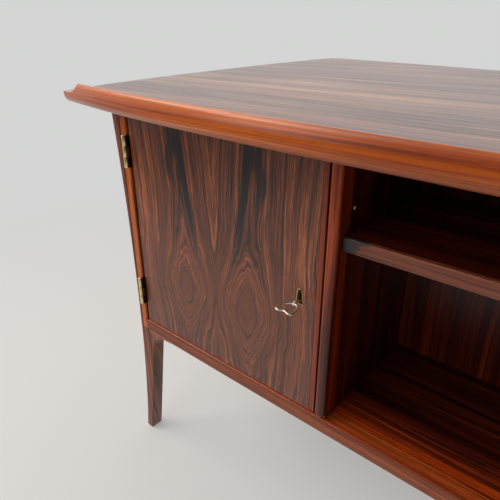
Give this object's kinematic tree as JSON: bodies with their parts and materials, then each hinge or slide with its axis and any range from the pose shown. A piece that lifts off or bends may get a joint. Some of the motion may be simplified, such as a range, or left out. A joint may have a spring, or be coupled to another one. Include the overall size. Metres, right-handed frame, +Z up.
{
  "type": "executive desk",
  "caption": "Rosewood executive desk with a raised lip on its bowed visitor edge, an open bookcase between lockable cupboards, drawers on the user side and plank legs.",
  "frame": {"origin": "on the floor, under the middle of the desk's bounding box", "axes": "+X along the desk, -Y towards the visitor side with the bookcase, +Y towards the user, +Z up"},
  "size_m": [2, 0.9658, 0.744],
  "materials": {
    "top_veneer": "satin",
    "edge_wood": "satin",
    "case_veneer": "satin",
    "leg_wood": "satin",
    "door_veneer": "satin",
    "front_veneer": "satin",
    "drawer_wood": "matte",
    "brass": "polished",
    "steel": "polished"
  },
  "bodies": {
    "carcass": {"desktop_panel": "top_veneer", "desktop_visitor_lip": "edge_wood", "desktop_user_edge": "edge_wood", "desktop_left_edge": "edge_wood", "desktop_right_edge": "edge_wood", "gable_lippings": "edge_wood", "divider_nosings": "edge_wood", "bookcase_shelf_lipping": "edge_wood", "left_gable": "case_veneer", "right_gable": "case_veneer", "left_divider": "case_veneer", "right_divider": "case_veneer", "bookcase_bottom": "case_veneer", "bookcase_back": "case_veneer", "bookcase_shelf": "case_veneer", "left_pedestal_bottom": "case_veneer", "right_pedestal_bottom": "case_veneer", "left_cabinet_back": "case_veneer", "right_cabinet_back": "case_veneer", "visitor_left_leg": "leg_wood", "visitor_right_leg": "leg_wood", "user_left_leg": "leg_wood", "user_right_leg": "leg_wood", "visitor_rail": "leg_wood", "user_rails": "leg_wood", "drawer_runners": "drawer_wood", "top_cleats": "drawer_wood", "hinge_frame_leaves": "brass", "hinge_pins": "brass", "shelf_pin_sleeves": "brass", "shelf_pins": "brass", "strike_plates": "brass", "top_screws": "steel"},
    "left_door": {"left_door": "door_veneer", "left_door_lipping": "edge_wood", "left_door_hinge_leaves": "brass", "left_escutcheon": "brass", "left_lock_case": "steel"},
    "left_key": {"left_key": "steel"},
    "left_bolt": {"left_lock_bolt": "steel"},
    "left_lower_drawer": {"left_lower_drawer_front": "front_veneer", "left_lower_drawer_box": "drawer_wood"},
    "left_middle_drawer": {"left_middle_drawer_front": "front_veneer", "left_middle_drawer_box": "drawer_wood"},
    "left_upper_drawer": {"left_upper_drawer_front": "front_veneer", "left_upper_drawer_box": "drawer_wood"},
    "right_door": {"right_door": "door_veneer", "right_door_lipping": "edge_wood", "right_door_hinge_leaves": "brass", "right_escutcheon": "brass", "right_lock_case": "steel"},
    "right_key": {"right_key": "steel"},
    "right_bolt": {"right_lock_bolt": "steel"},
    "right_lower_drawer": {"right_lower_drawer_front": "front_veneer", "right_lower_drawer_box": "drawer_wood"},
    "right_middle_drawer": {"right_middle_drawer_front": "front_veneer", "right_middle_drawer_box": "drawer_wood"},
    "right_upper_drawer": {"right_upper_drawer_front": "front_veneer", "right_upper_drawer_box": "drawer_wood"}
  },
  "joints": [
    {"name": "left_door_hinge", "type": "hinge", "parent": "carcass", "child": "left_door", "pos_m": [-0.8725, -0.347, 0.5], "axis": [0, 0, -1], "range_deg": [0, 100]},
    {"name": "left_key_turn", "type": "hinge", "parent": "left_door", "child": "left_key", "pos_m": [-0.517, -0.34, 0.48], "axis": [0, 1, 0], "range_deg": [0, 90]},
    {"name": "left_bolt_slide", "type": "slide", "parent": "left_door", "child": "left_bolt", "axis": [1, 0, 0], "range_m": [0, 0.009]},
    {"name": "left_lower_drawer_slide", "type": "slide", "parent": "carcass", "child": "left_lower_drawer", "axis": [0, 1, 0], "range_m": [0, 0.25]},
    {"name": "left_middle_drawer_slide", "type": "slide", "parent": "carcass", "child": "left_middle_drawer", "axis": [0, 1, 0], "range_m": [0, 0.25]},
    {"name": "left_upper_drawer_slide", "type": "slide", "parent": "carcass", "child": "left_upper_drawer", "axis": [0, 1, 0], "range_m": [0, 0.25]},
    {"name": "right_door_hinge", "type": "hinge", "parent": "carcass", "child": "right_door", "pos_m": [0.8725, -0.347, 0.5], "axis": [0, 0, 1], "range_deg": [0, 100]},
    {"name": "right_key_turn", "type": "hinge", "parent": "right_door", "child": "right_key", "pos_m": [0.517, -0.34, 0.48], "axis": [0, -1, 0], "range_deg": [0, 90]},
    {"name": "right_bolt_slide", "type": "slide", "parent": "right_door", "child": "right_bolt", "axis": [-1, 0, 0], "range_m": [0, 0.009]},
    {"name": "right_lower_drawer_slide", "type": "slide", "parent": "carcass", "child": "right_lower_drawer", "axis": [0, 1, 0], "range_m": [0, 0.25]},
    {"name": "right_middle_drawer_slide", "type": "slide", "parent": "carcass", "child": "right_middle_drawer", "axis": [0, 1, 0], "range_m": [0, 0.25]},
    {"name": "right_upper_drawer_slide", "type": "slide", "parent": "carcass", "child": "right_upper_drawer", "axis": [0, 1, 0], "range_m": [0, 0.25]}
  ],
  "couplings": [
    {"joint": "left_key_turn", "follows": "left_bolt_slide", "rad_per_m": 174.5},
    {"joint": "right_key_turn", "follows": "right_bolt_slide", "rad_per_m": 174.5}
  ]
}
